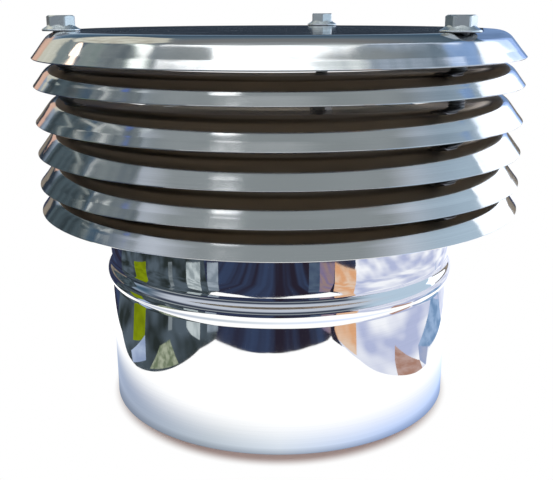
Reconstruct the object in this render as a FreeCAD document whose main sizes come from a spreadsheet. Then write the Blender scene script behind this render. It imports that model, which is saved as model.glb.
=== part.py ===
import FreeCAD, Part
import math
import os

import Sketcher

# Louvred chimney cowl for a 180 mm flue, in millimetres.
# A closed cap and five louvre rings of thin stainless sheet hang on three long bolts. Each tier is a
# flat flange, a rounded shoulder and a conical skirt that overhangs the flange below, so smoke leaves
# between the tiers while rain and down-draught are turned away. The lowest ring is welded to the lip
# of the collar, and the collar's plain end slips into the flue as far as its bead.
# The frame's origin is the centre of the collar's lower edge, +Z is up along the flue's axis, and
# -Y is the side with a bolt on its right and a bolt on its left.

# Driving sizes: name, value, what it is.
SIZES = [
    ("flue_diameter", 179.0, "outside of the collar, a slip fit in a 180 mm socket"),
    ("collar_wall", 0.6, "sheet of the collar"),
    ("bead_level", 68.6, "middle of the collar's bead above its lower edge"),
    ("bead_depth", 1.9, "how far the bead stands out of the collar"),
    ("crown_radius", 6.0, "outside radius of the bead's crown"),
    ("bead_fillet", 5.8, "radius of the hollows that lead into the bead"),
    ("neck_depth", 0.4, "how far rolling the bead drew the wall in above it"),
    ("neck_ease", 55.0, "radius that brings the wall back out above the neck"),
    ("lip_bend", 2.6, "outside radius of the bend under the collar's lip"),
    ("lip_gap", 1.5, "from the lip's edge to the nearest nut"),
    ("base_level", 113.5, "top of the lowest ring's flange above the collar's lower edge"),
    ("tier_pitch", 15.2, "from one flange to the next"),
    ("sheet_wall", 0.8, "sheet of the cap and the rings"),
    ("bore_ease", 2.5, "how far the rings' opening stands outside the collar"),
    ("skirt_reach", 32.5, "how far the skirts' rims stand outside the collar"),
    ("skirt_drop", 12.3, "from flange to rim on the cap and the three middle rings"),
    ("short_drop", 10.2, "from flange to rim on the top ring and the lowest ring"),
    ("skirt_angle", 54.0, "fall of the skirt, in degrees from level"),
    ("shoulder_radius", 10.0, "outside radius of the shoulder between flange and skirt"),
    ("bolt_inset", 15.0, "from a rim in to the circle through the bolts"),
    ("bolt_turn", -44.6, "direction of the right-hand bolt, in degrees from +X"),
    ("hole_diameter", 8.6, "bolt holes in the cap and the rings"),
    ("thread_diameter", 8.0, "M8 bolts"),
    ("thread_end", 0.8, "thread left below the lowest nut, which makes an 85 mm bolt"),
    ("end_chamfer", 1.0, "chamfer on the end of the thread"),
    ("thread_gap", 0.2, "between the plain shank and a nut's plain bore, a side"),
    ("head_across", 12.0, "bolt's hexagon across its flats"),
    ("head_corners", 13.3, "bolt's hexagon across its blunt corners"),
    ("head_face", 11.2, "round face on top of the head, inside the chamfer"),
    ("head_height", 7.2, "from the seat to the top of the head"),
    ("seat_diameter", 17.9, "flange under the hexagon head"),
    ("seat_edge", 1.2, "thickness of that flange at its edge"),
    ("seat_rise", 2.8, "height at which the flange's cone meets the flats"),
    ("nut_across", 13.0, "nut's hexagon across its flats"),
    ("nut_corners", 14.5, "nut's hexagon across its blunt corners"),
    ("nut_face", 11.8, "round face on each end of the nut, inside the chamfer"),
    ("nut_height", 6.5, "M8 nut"),
    ("corner_angle", 30.0, "chamfer on the corners of heads and nuts, in degrees"),
]

# Radii that several pieces share.
COLLAR_RADIUS = "Sizes.flue_diameter / 2"
BORE_RADIUS = "(Sizes.flue_diameter / 2 + Sizes.bore_ease)"
RIM_RADIUS = "(Sizes.flue_diameter / 2 + Sizes.skirt_reach)"
BOLT_RADIUS = "(Sizes.flue_diameter / 2 + Sizes.skirt_reach - Sizes.bolt_inset)"

# Tiers from the bottom up: node, word for its nuts, pitches above the lowest flange, drop of its skirt.
TIERS = [
    ("base_ring", "base", 0, "Sizes.short_drop"),
    ("louvre_ring_4", "ring_4", 1, "Sizes.skirt_drop"),
    ("louvre_ring_3", "ring_3", 2, "Sizes.skirt_drop"),
    ("louvre_ring_2", "ring_2", 3, "Sizes.skirt_drop"),
    ("louvre_ring_1", "ring_1", 4, "Sizes.short_drop"),
    ("top_cap", "cap", 5, "Sizes.skirt_drop"),
]

# Each bolt's direction and the turn of its head, both in degrees from the right-hand bolt's direction.
BOLTS = {"right": (0.0, 36.2), "rear": (120.0, 11.7), "left": (240.0, 42.9)}

# Positions of points on sketch geometry, and the sketch's own origin and axes.
START, END, CENTRE = 1, 2, 3
ORIGIN = (-1, 1)
LEVEL_AXIS, UPRIGHT_AXIS = -1, -2
UP = FreeCAD.Vector(0, 0, 1)

doc = FreeCAD.newDocument("LouvredCowl")
sheet = doc.addObject("Spreadsheet::Sheet", "Sizes")
for row, (name, value, note) in enumerate(SIZES, start=1):
    sheet.set("A%d" % row, name)
    sheet.set("B%d" % row, str(value))
    sheet.set("C%d" % row, note)
    sheet.setAlias("B%d" % row, name)
doc.recompute()

subparts = []


def size(expression):
    """Value of an expression over the sheet, for the first drawing of a sketch."""
    return float(sheet.evalExpression(expression))


def point(x, y):
    return FreeCAD.Vector(x, y, 0.0)


def new_body(label):
    """Start a sub-part: a body whose label is the name of its file."""
    body = doc.addObject("PartDesign::Body", "Body_" + label)
    body.Label = label
    subparts.append(body)
    return body


def plane_sketch(body, plane, name):
    """Put a sketch on one of the body's own origin planes."""
    sketch = body.newObject("Sketcher::SketchObject", name)
    origin_plane = [f for f in body.Origin.OriginFeatures if f.Role == plane][0]
    sketch.AttachmentSupport = [(origin_plane, "")]
    sketch.MapMode = "FlatFace"
    return sketch


def dimension(sketch, kind, places, expression):
    """Add one driving dimension and bind it to the sheet."""
    value = size(expression)
    if kind == "Angle":
        value = math.radians(value)
    index = sketch.addConstraint(Sketcher.Constraint(kind, *places, value))
    sketch.setExpression("Constraints[%d]" % index, expression)


def join(sketch, kind, *places):
    """Add a constraint that has no size."""
    sketch.addConstraint(Sketcher.Constraint(kind, *places))


def signed_sweep(centre, first, last):
    """Angle from first to last about centre, the short way round."""
    turn = math.atan2(last.y - centre.y, last.x - centre.x)
    turn -= math.atan2(first.y - centre.y, first.x - centre.x)
    return (turn + math.pi) % (2 * math.pi) - math.pi


def add_chain(sketch, points, centres):
    """Draw lines and arcs through points, each tangent to the next. A line has None for its centre.

    Returns each piece's number, with the positions of its first and last point along the chain.
    """
    chain = []
    for first, last, centre in zip(points, points[1:], centres):
        if centre is None:
            chain.append((sketch.addGeometry(Part.LineSegment(first, last), False), START, END))
            continue
        sweep = signed_sweep(centre, first, last)
        begin = first if sweep > 0 else last
        angle = math.atan2(begin.y - centre.y, begin.x - centre.x)
        circle = Part.Circle(centre, UP, first.distanceToPoint(centre))
        arc = sketch.addGeometry(Part.ArcOfCircle(circle, angle, angle + abs(sweep)), False)
        chain.append((arc, START, END) if sweep > 0 else (arc, END, START))
    for (one, _, one_end), (other, other_start, _) in zip(chain, chain[1:]):
        join(sketch, "Tangent", one, one_end, other, other_start)
    return chain


def left_of(points, centres, index):
    """Unit vector to the left of the chain at one of its points."""
    piece = min(index, len(centres) - 1)
    first, last, centre = points[piece], points[piece + 1], centres[piece]
    if centre is None:
        along = (last - first).normalize()
        return point(-along.y, along.x)
    outward = (points[index] - centre).normalize()
    return outward * -1 if signed_sweep(centre, first, last) > 0 else outward


def sheet_section(sketch, points, centres, side, wall):
    """Section of bent sheet: a chain, a second chain one wall away, and the two cut edges.

    side is 1 for a second face to the left of the chain, -1 for the right. Returns the first chain.
    """
    step = side * size(wall)
    other_points = [p + left_of(points, centres, i) * step for i, p in enumerate(points)]
    face = add_chain(sketch, points, centres)
    back = add_chain(sketch, other_points, centres)
    for (one, _, _), (other, _, _), centre in zip(face, back, centres):
        if centre is None:
            join(sketch, "Parallel", one, other)
        else:
            join(sketch, "Coincident", one, CENTRE, other, CENTRE)
    for index, end in ((0, 1), (-1, 2)):
        edge = sketch.addGeometry(Part.LineSegment(points[index], other_points[index]), False)
        join(sketch, "Coincident", edge, START, face[index][0], face[index][end])
        join(sketch, "Coincident", edge, END, back[index][0], back[index][end])
        join(sketch, "Perpendicular", edge, face[index][0])
        if index == 0:
            dimension(sketch, "Distance", (edge,), wall)
    return face


def closed_outline(sketch, corners):
    """Draw straight lines round corners and join them. Level and upright ones are held so."""
    lines = []
    for first, last in zip(corners, corners[1:] + corners[:1]):
        line = sketch.addGeometry(Part.LineSegment(first, last), False)
        if math.isclose(first.y, last.y, abs_tol=1e-9):
            join(sketch, "Horizontal", line)
        if math.isclose(first.x, last.x, abs_tol=1e-9):
            join(sketch, "Vertical", line)
        lines.append(line)
    for one, other in zip(lines, lines[1:] + lines[:1]):
        join(sketch, "Coincident", one, END, other, START)
    return lines


def revolve(body, sketch, kind="PartDesign::Revolution"):
    """Turn a section once about the sketch's upright axis, to add it or to cut with it."""
    spin = body.newObject(kind, "Spin_" + sketch.Name)
    spin.Profile = sketch
    spin.ReferenceAxis = (sketch, ["V_Axis"])
    spin.Angle = 360.0
    sketch.Visibility = False
    return spin


def tier_level(pitches):
    """Height of a tier's flange."""
    return "Sizes.base_level + %d * Sizes.tier_pitch" % pitches


def flange_end(drop):
    """Radius at which a tier's flat flange gives way to its shoulder."""
    skirt_fall = "(%s - Sizes.shoulder_radius * (1 - cos(Sizes.skirt_angle)))" % drop
    return "(%s - %s / tan(Sizes.skirt_angle) - Sizes.shoulder_radius * sin(Sizes.skirt_angle))" % (
        RIM_RADIUS, skirt_fall)


def nut_level(pitches, drop):
    """Height of a nut's foot.

    The bolts stand so near the shoulder that a nut's outer flat meets the inside of the shoulder
    before its face can reach the flange, so the shoulder is what rests on it.
    """
    overrun = "max(0; %s + Sizes.nut_across / 2 - %s)" % (BOLT_RADIUS, flange_end(drop))
    inside = "sqrt((Sizes.shoulder_radius - Sizes.sheet_wall) ^ 2 - %s ^ 2)" % overrun
    return "%s - Sizes.shoulder_radius + %s - Sizes.nut_height" % (tier_level(pitches), inside)


def make_collar(label):
    """Spigot with a rolled bead and a lip, one wall thick throughout."""
    body = new_body(label)
    lip_level = "Sizes.base_level - Sizes.sheet_wall - Sizes.collar_wall"
    lip_radius = "%s - Sizes.nut_corners / 2 - Sizes.lip_gap" % BOLT_RADIUS
    neck_centre = COLLAR_RADIUS + " - Sizes.neck_depth + Sizes.bead_fillet"
    crown_centre = COLLAR_RADIUS + " + Sizes.bead_depth - Sizes.crown_radius"

    radius = size(COLLAR_RADIUS)
    crown_r, fillet_r, ease_r = size("Sizes.crown_radius"), size("Sizes.bead_fillet"), size("Sizes.neck_ease")
    crown = point(size(crown_centre), size("Sizes.bead_level"))
    low = point(radius + fillet_r, 0)
    low.y = crown.y - math.sqrt((crown_r + fillet_r) ** 2 - (low.x - crown.x) ** 2)
    high = point(size(neck_centre), 0)
    high.y = crown.y + math.sqrt((crown_r + fillet_r) ** 2 - (high.x - crown.x) ** 2)
    ease = point(radius - ease_r, 0)
    ease.y = high.y + math.sqrt((ease_r + fillet_r) ** 2 - (high.x - ease.x) ** 2)
    bend = point(radius + size("Sizes.lip_bend"), size(lip_level) - size("Sizes.lip_bend"))

    def meeting(one, other, one_radius):
        """Point where two arcs that curve opposite ways meet."""
        return one + (other - one).normalize() * one_radius

    points = [
        point(radius, 0),
        point(radius, low.y),
        meeting(low, crown, fillet_r),
        meeting(crown, high, crown_r),
        meeting(high, ease, fillet_r),
        point(radius, ease.y),
        point(radius, bend.y),
        point(bend.x, size(lip_level)),
        point(size(lip_radius), size(lip_level)),
    ]
    centres = [None, low, crown, high, ease, None, bend, None]
    section = plane_sketch(body, "XZ_Plane", "Section_" + label)
    chain = sheet_section(section, points, centres, 1, "Sizes.collar_wall")
    spigot, low_arc, crown_arc, high_arc, ease_arc, barrel, bend_arc, lip = [piece[0] for piece in chain]
    join(section, "Vertical", spigot)
    join(section, "PointOnObject", spigot, START, LEVEL_AXIS)
    join(section, "Vertical", barrel)
    join(section, "Horizontal", lip)
    join(section, "Equal", low_arc, high_arc)
    dimension(section, "DistanceX", (*ORIGIN, spigot, START), COLLAR_RADIUS)
    dimension(section, "DistanceX", (*ORIGIN, barrel, END), COLLAR_RADIUS)
    dimension(section, "Radius", (crown_arc,), "Sizes.crown_radius")
    dimension(section, "Radius", (low_arc,), "Sizes.bead_fillet")
    dimension(section, "Radius", (ease_arc,), "Sizes.neck_ease")
    dimension(section, "Radius", (bend_arc,), "Sizes.lip_bend")
    dimension(section, "DistanceY", (*ORIGIN, crown_arc, CENTRE), "Sizes.bead_level")
    dimension(section, "DistanceX", (*ORIGIN, crown_arc, CENTRE), crown_centre)
    dimension(section, "DistanceX", (*ORIGIN, high_arc, CENTRE), neck_centre)
    dimension(section, "DistanceY", (*ORIGIN, lip, END), lip_level)
    dimension(section, "DistanceX", (*ORIGIN, lip, END), lip_radius)
    revolve(body, section)


def make_tier(label, pitches, drop, has_bore):
    """Cap or ring: flange, rounded shoulder and conical skirt, with a hole for each bolt."""
    body = new_body(label)
    radius, fall = size("Sizes.shoulder_radius"), math.radians(size("Sizes.skirt_angle"))
    flat_end = size(flange_end(drop))
    inner = size(BORE_RADIUS) if has_bore else 0.0
    points = [
        point(inner, 0),
        point(flat_end, 0),
        point(flat_end + radius * math.sin(fall), radius * (math.cos(fall) - 1)),
        point(size(RIM_RADIUS), -size(drop)),
    ]
    centres = [None, point(flat_end, -radius), None]
    section = plane_sketch(body, "XZ_Plane", "Section_" + label)
    chain = sheet_section(section, points, centres, -1, "Sizes.sheet_wall")
    flange, shoulder, skirt = [piece[0] for piece in chain]
    join(section, "Horizontal", flange)
    if has_bore:
        join(section, "PointOnObject", flange, START, LEVEL_AXIS)
        dimension(section, "DistanceX", (*ORIGIN, flange, START), BORE_RADIUS)
    else:
        join(section, "Coincident", flange, START, *ORIGIN)
    dimension(section, "Radius", (shoulder,), "Sizes.shoulder_radius")
    dimension(section, "Angle", (skirt,), "-Sizes.skirt_angle")
    dimension(section, "DistanceX", (*ORIGIN, skirt, END), RIM_RADIUS)
    dimension(section, "DistanceY", (skirt, END, *ORIGIN), drop)
    revolve(body, section)

    hole = plane_sketch(body, "XY_Plane", "Hole_" + label)
    circle = hole.addGeometry(
        Part.Circle(point(size(BOLT_RADIUS), 0), UP, size("Sizes.hole_diameter / 2")), False)
    join(hole, "PointOnObject", circle, CENTRE, LEVEL_AXIS)
    dimension(hole, "DistanceX", (*ORIGIN, circle, CENTRE), BOLT_RADIUS)
    dimension(hole, "Diameter", (circle,), "Sizes.hole_diameter")
    drill = body.newObject("PartDesign::Pocket", "Drill_" + label)
    drill.Profile = hole
    drill.Type = "ThroughAll"
    holes = body.newObject("PartDesign::PolarPattern", "Holes_" + label)
    holes.Originals = [drill]
    holes.Axis = (hole, ["N_Axis"])
    holes.Angle = 360.0
    holes.Occurrences = len(BOLTS)
    body.Tip = holes
    body.setExpression("Placement.Base.z", tier_level(pitches))
    body.setExpression("Placement.Rotation.Angle", "Sizes.bolt_turn")


def add_hexagon(body, name, part, chamfer_foot):
    """Six-sided blank with blunt corners, chamfered on top and, for a nut, at its foot too.

    part is head or nut: the word that its sizes in the sheet begin with.
    """
    prism = body.newObject("PartDesign::AdditivePrism", "Prism_" + name)
    prism.Polygon = 6
    prism.setExpression("Circumradius", "Sizes.%s_across / 2 / cos(30)" % part)
    prism.setExpression("Height", "Sizes.%s_height" % part)

    face, corner, top = ("Sizes.%s_face / 2" % part, "Sizes.%s_corners / 2" % part, "Sizes.%s_height" % part)
    fall = "(%s - %s) * tan(Sizes.corner_angle)" % (corner, face)
    clear = size(corner) * 1.5
    corners = [point(size(face), size(top)), point(clear, size(top)), point(clear, 0)]
    if chamfer_foot:
        corners += [point(size(face), 0), point(size(corner), size(fall))]
    else:
        corners += [point(size(corner), 0)]
    corners += [point(size(corner), size(top) - size(fall))]
    sketch = plane_sketch(body, "XZ_Plane", "Corners_" + name)
    lines = closed_outline(sketch, corners)
    top_line, clear_line, foot_line, side_line = lines[0], lines[1], lines[2], lines[-2]
    join(sketch, "PointOnObject", clear_line, END, LEVEL_AXIS)
    dimension(sketch, "DistanceX", (*ORIGIN, top_line, START), face)
    dimension(sketch, "DistanceX", (*ORIGIN, clear_line, START), corner + " * 1.5")
    dimension(sketch, "DistanceY", (*ORIGIN, top_line, START), top)
    dimension(sketch, "DistanceX", (*ORIGIN, side_line, END), corner)
    dimension(sketch, "DistanceY", (side_line, END, top_line, START), fall)
    if chamfer_foot:
        dimension(sketch, "DistanceX", (*ORIGIN, foot_line, END), face)
        dimension(sketch, "DistanceY", (foot_line, END, side_line, START), fall)
    revolve(body, sketch, "PartDesign::Groove")


def stand_on_circle(body, direction, level, turn):
    """Place a fastener on the bolt circle, with its axis upright."""
    place = "%s * %%s(Sizes.bolt_turn + %g)" % (BOLT_RADIUS, direction)
    body.setExpression("Placement.Base.x", place % "cos")
    body.setExpression("Placement.Base.y", place % "sin")
    body.setExpression("Placement.Base.z", level)
    body.setExpression("Placement.Rotation.Angle", "Sizes.bolt_turn + %g" % turn)


def make_bolt(label, direction, turn):
    """Hexagon flange bolt: the head's blank first, then its conical flange and the plain shank."""
    body = new_body(label)
    add_hexagon(body, label, "head", False)
    _, _, cap_pitches, _ = TIERS[-1]
    _, _, base_pitches, base_drop = TIERS[0]
    length = "(%s - (%s) + Sizes.thread_end)" % (tier_level(cap_pitches), nut_level(base_pitches, base_drop))
    shank, seat, neck = "Sizes.thread_diameter / 2", "Sizes.seat_diameter / 2", "Sizes.head_across / 2"
    edge, rise, chamfer = "Sizes.seat_edge", "Sizes.seat_rise", "Sizes.end_chamfer"
    section = plane_sketch(body, "XZ_Plane", "Section_" + label)
    end, _, side, under, rim, cone, _, axis = closed_outline(section, [
        point(0, -size(length)),
        point(size(shank) - size(chamfer), -size(length)),
        point(size(shank), size(chamfer) - size(length)),
        point(size(shank), 0),
        point(size(seat), 0),
        point(size(seat), size(edge)),
        point(size(neck), size(rise)),
        point(0, size(rise)),
    ])
    join(section, "PointOnObject", axis, START, UPRIGHT_AXIS)
    join(section, "PointOnObject", under, START, LEVEL_AXIS)
    dimension(section, "DistanceY", (end, START, *ORIGIN), length)
    dimension(section, "DistanceX", (end, END, side, START), chamfer)
    dimension(section, "DistanceY", (end, END, side, START), chamfer)
    dimension(section, "DistanceX", (*ORIGIN, side, END), shank)
    dimension(section, "DistanceX", (*ORIGIN, rim, START), seat)
    dimension(section, "DistanceY", (*ORIGIN, rim, END), edge)
    dimension(section, "DistanceX", (*ORIGIN, cone, END), neck)
    dimension(section, "DistanceY", (*ORIGIN, cone, END), rise)
    revolve(body, section)
    stand_on_circle(body, direction, tier_level(cap_pitches), turn)


def make_nut(label, direction, pitches, drop):
    """Hexagon nut below a flange, with a plain bore for the thread and a flat towards the skirt."""
    body = new_body(label)
    add_hexagon(body, label, "nut", True)
    bore = body.newObject("PartDesign::SubtractiveCylinder", "Bore_" + label)
    bore.setExpression("Radius", "Sizes.thread_diameter / 2 + Sizes.thread_gap")
    bore.setExpression("Height", "Sizes.nut_height")
    flat_outward = direction + 30.0
    stand_on_circle(body, direction, nut_level(pitches, drop), flat_outward)


make_collar("flue_collar")
for node, word, pitches, drop in TIERS:
    make_tier(node, pitches, drop, node != "top_cap")
for side, (direction, turn) in BOLTS.items():
    make_bolt("tie_bolt_" + side, direction, turn)
    for node, word, pitches, drop in TIERS:
        make_nut("nut_%s_%s" % (side, word), direction, pitches, drop)

doc.recompute()

for thing in doc.Objects:
    if "Invalid" in thing.State or "Error" in thing.State:
        raise RuntimeError("%s failed: %s" % (thing.Label, thing.State))
    if thing.TypeId == "Sketcher::SketchObject" and not thing.FullyConstrained:
        raise RuntimeError("%s is not fully constrained" % thing.Label)
for body in subparts:
    shape = body.Shape
    if shape.isNull() or not shape.isValid() or len(shape.Solids) != 1:
        raise RuntimeError("%s has no sound solid" % body.Label)

os.makedirs("parts", exist_ok=True)
for body in subparts:
    body.Shape.exportStep("parts/%s.step" % body.Label)
    box = body.Shape.BoundBox
    print("%-18s volume %9.1f mm3, z %6.1f to %6.1f" % (body.Label, body.Shape.Volume, box.ZMin, box.ZMax))
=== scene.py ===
# %% [markdown]
# # A louvred flue cowl in polished stainless sheet
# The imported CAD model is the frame: it says where every sheet, bolt and nut is. This script keeps
# those places and makes each piece again as the real one is made, from spun and rolled sheet, rolled
# threads and milled hexagons, and gives it the finish that the eye knows the metal by.
# Polished metal has no look of its own. It shows what stands round it, so half of this lesson is
# the studio: the white sheet that the cowl stands on, the bench beyond it and the lights above.

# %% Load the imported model
import math

import bmesh
import bpy
from mathutils import Matrix, Vector


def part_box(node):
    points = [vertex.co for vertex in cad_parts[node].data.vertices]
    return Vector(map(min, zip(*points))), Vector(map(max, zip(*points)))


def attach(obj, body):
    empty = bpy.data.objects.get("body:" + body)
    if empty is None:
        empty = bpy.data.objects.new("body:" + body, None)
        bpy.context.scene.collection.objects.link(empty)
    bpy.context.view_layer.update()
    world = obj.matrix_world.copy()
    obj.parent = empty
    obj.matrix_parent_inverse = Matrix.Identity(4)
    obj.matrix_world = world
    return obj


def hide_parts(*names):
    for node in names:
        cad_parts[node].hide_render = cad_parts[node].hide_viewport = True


MM = 0.001

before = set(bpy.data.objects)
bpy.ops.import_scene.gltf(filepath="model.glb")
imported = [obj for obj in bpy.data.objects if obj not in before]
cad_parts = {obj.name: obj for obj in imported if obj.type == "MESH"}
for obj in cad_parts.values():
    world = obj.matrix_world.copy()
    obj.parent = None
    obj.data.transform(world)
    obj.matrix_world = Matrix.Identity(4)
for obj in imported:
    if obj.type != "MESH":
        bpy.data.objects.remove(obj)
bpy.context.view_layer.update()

# %% [markdown]
# ## Camera
# The camera was solved from the six rims, which are circles on one axis: their ellipses give the
# distance, the height and the tilt. It stands level with the cap and looks down at the collar, so
# the cap's flat top is seen almost edge on.
# A matrix built from three turns keeps the three angles readable.

# %% Place the camera
PHOTO_WIDTH = 553
FOCAL_PIXELS = 830.0
SENSOR_WIDTH = 36.0
EYE = Vector((0.0, -433.8, 198.7)) * MM
PITCH, YAW, ROLL = (math.radians(a) for a in (15.48, -0.20, -0.16))

lens = bpy.data.cameras.new("product_camera")
lens.sensor_width = SENSOR_WIDTH
lens.lens = FOCAL_PIXELS * SENSOR_WIDTH / PHOTO_WIDTH
camera = bpy.data.objects.new("product_camera", lens)
camera.matrix_world = (
    Matrix.Translation(EYE)
    @ Matrix.Rotation(-YAW, 4, "Z")
    @ Matrix.Rotation(math.radians(90) - PITCH, 4, "X")
    @ Matrix.Rotation(ROLL, 4, "Z")
)
bpy.context.scene.collection.objects.link(camera)
bpy.context.scene.camera = camera
bpy.context.scene.view_settings.view_transform = "Standard"
print("lens", round(lens.lens, 2), "mm, eye", round(EYE.length / MM), "mm away")

# %% [markdown]
# ## Levels
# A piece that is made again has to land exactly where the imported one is. So each level is read from
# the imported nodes. The other sizes are the ones that the CAD model was drawn from, in millimetres,
# and stand in the cell that first needs them.

# %% Levels of the tiers
TIERS = ("base_ring", "louvre_ring_4", "louvre_ring_3", "louvre_ring_2", "louvre_ring_1", "top_cap")


def top_of(node):
    """Height of a node's upper side, in millimetres."""
    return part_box(node)[1].z / MM


print("flange levels", {tier: round(top_of(tier), 1) for tier in TIERS})

# %% [markdown]
# ## Colours and nodes
# Colours are written as sRGB hex, the way a swatch is read from a screen, and one function turns them
# into the linear values that shaders work in. One small function adds a node, sets its values
# and links its inputs, so a material below reads as a list of steps.

# %% Colour and node helpers
def linear(hex_colour):
    """Linear RGBA of an sRGB hex colour."""
    values = [int(hex_colour[i:i + 2], 16) / 255 for i in (1, 3, 5)]
    return tuple(v / 12.92 if v <= 0.04045 else ((v + 0.055) / 1.055) ** 2.4 for v in values) + (1.0,)


def add_node(tree, kind, settings=None, stops=(), **inputs):
    """Add a node.

    settings are its properties, stops a ramp's (position, sRGB hex) pairs, and inputs its sockets,
    by name or by number as _0. An input is a value, or the socket of another node to link to.
    """
    node = tree.nodes.new(kind)
    for name, value in (settings or {}).items():
        setattr(node, name, value)
    if stops:
        points = node.color_ramp.elements
        while len(points) < len(stops):
            points.new(0.5)
        for point, (position, colour) in zip(points, stops):
            point.position = position
            point.color = linear(colour)
    for name, value in inputs.items():
        key = int(name[1:]) if name[0] == "_" else name.replace("_", " ")
        socket = node.inputs[key]
        if isinstance(value, bpy.types.NodeSocket):
            tree.links.new(value, socket)
        else:
            socket.default_value = value
    return node


def new_material(name):
    """An empty node material and its tree."""
    material = bpy.data.materials.new(name)
    material.use_nodes = True
    material.node_tree.nodes.clear()
    return material, material.node_tree


print("mid grey #808080 is", round(linear("#808080")[0], 3), "in linear light")

# %% [markdown]
# ## Studio floor and light
# The camera sees plain white all round, as in a cut-out product picture: the world and the floor
# give camera rays a strength of 1. Near the collar the floor turns to matt paint, so that the shadow
# where the cowl stands is kept. That paint is a darker, warmer tint than white: painted shade on top
# of the real shadow.
# Diffuse light is even and pale. What the metal mirrors comes next, because it can be quite different.

# %% White floor with a contact shadow
FLOOR_HALF = 3.0
SHADOW_START, SHADOW_END = 92.0, 101.0
SIDE_SQUEEZE = 1.09
WHITE = (1, 1, 1, 1)
SMOOTH = {"interpolation_type": "SMOOTHSTEP"}

floor_paint, tree = new_material("matt white studio floor")
place = add_node(tree, "ShaderNodeTexCoord").outputs["Object"]
flat = add_node(tree, "ShaderNodeVectorMath", {"operation": "MULTIPLY"}, _0=place, _1=(SIDE_SQUEEZE, 1, 0))
distance = add_node(tree, "ShaderNodeVectorMath", {"operation": "LENGTH"}, _0=flat.outputs[0])
open_floor = add_node(tree, "ShaderNodeMapRange", SMOOTH, _0=distance.outputs["Value"],
                      _1=SHADOW_START * MM, _2=SHADOW_END * MM)
# A darker, warmer tint than white, used only near the collar: painted shade over the real contact shadow.
shade_paint = add_node(tree, "ShaderNodeBsdfDiffuse", Color=linear("#E2C6BE"))
glow = add_node(tree, "ShaderNodeEmission", Color=WHITE, Strength=1.0)
white = add_node(tree, "ShaderNodeMixShader", _0=open_floor.outputs[0],
                 _1=shade_paint.outputs[0], _2=glow.outputs[0])
add_node(tree, "ShaderNodeOutputMaterial", Surface=white.outputs[0])

flats = []


def add_flat(name, corners, material, seen_by):
    """Add a flat stage piece through its corners, in metres, for only the kinds of ray in seen_by."""
    bm = bmesh.new()
    points = [bm.verts.new(c) for c in corners]
    loop = [bm.edges.new(pair) for pair in zip(points, points[1:] + points[:1])]
    bmesh.ops.edgeloop_fill(bm, edges=loop)
    mesh = bpy.data.meshes.new(name)
    bm.to_mesh(mesh)
    bm.free()
    mesh.materials.append(material)
    card = bpy.data.objects.new(name, mesh)
    bpy.context.scene.collection.objects.link(card)
    for ray in ("camera", "diffuse", "glossy", "transmission", "shadow"):
        setattr(card, "visible_" + ray, ray in seen_by)
    flats.append(name)


square = ((-1, -1), (1, -1), (1, 1), (-1, 1))
add_flat("studio_floor", [(x * FLOOR_HALF, y * FLOOR_HALF, 0) for x, y in square],
         floor_paint, ("camera", "diffuse", "transmission", "shadow"))
print("floor", 2 * FLOOR_HALF, "m square, shadow kept to", SHADOW_END, "mm from the axis")

# %% [markdown]
# ## What the metal mirrors
# The collar mirrors the floor: a white sheet with a dark bench beyond it, and pale and coloured
# cloths to the sides. The skirts mirror the ceiling in front of them, and the right end of every
# skirt a bright window. Each of these is a card that only glossy rays see.
# A card's colour is the one that the metal should show. Steel takes about a quarter of the light that
# falls on it, so every card glows a third brighter than its colour.

# %% Card helpers
CARD_RAYS = ("glossy",)
COLLAR_KEEPS = 0.73
CLOUD_LOW, CLOUD_HIGH = 0.38, 0.62
LAYER_STEP, LAYERS_BELOW = 0.01, 20


def glowing(name, colours, level, folds):
    """Material of a card that shines in cloudy steps from one colour to the other.

    folds are the widths of the clouds along X and Y, in millimetres.
    """
    material, tree = new_material(name)
    place = add_node(tree, "ShaderNodeTexCoord").outputs["Object"]
    stretched = add_node(tree, "ShaderNodeVectorMath", {"operation": "DIVIDE"},
                         _0=place, _1=(folds[0] * MM, folds[1] * MM, 1))
    cloud = add_node(tree, "ShaderNodeTexNoise", Vector=stretched.outputs[0],
                     Scale=1.0, Detail=2.0, Roughness=0.5)
    spread = add_node(tree, "ShaderNodeMapRange", _0=cloud.outputs[0], _1=CLOUD_LOW, _2=CLOUD_HIGH)
    tint = add_node(tree, "ShaderNodeMix", {"data_type": "RGBA"},
                    _0=spread.outputs[0], _6=linear(colours[0]), _7=linear(colours[1]))
    glow = add_node(tree, "ShaderNodeEmission", Color=tint.outputs[2], Strength=level)
    add_node(tree, "ShaderNodeOutputMaterial", Surface=glow.outputs[0])
    material.cycles.emission_sampling = "NONE"
    return material


def lay_down(name, finish, layer, corners):
    """Lay a card a hair under the floor's level. A higher layer lies on top of a lower one."""
    height = (layer - LAYERS_BELOW) * LAYER_STEP * MM
    add_flat(name, [(x * MM, y * MM, height) for x, y in corners], finish, CARD_RAYS)


def floor_card(name, colours, layer, corners, folds=(30, 30)):
    """Lay down a cloudy card."""
    lay_down(name, glowing(name + " card", colours, 1 / COLLAR_KEEPS, folds), layer, corners)


print("a card on the floor glows", round(1 / COLLAR_KEEPS, 2), "times its colour")

# %% Cards on the floor
BENCH = 2500

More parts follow.
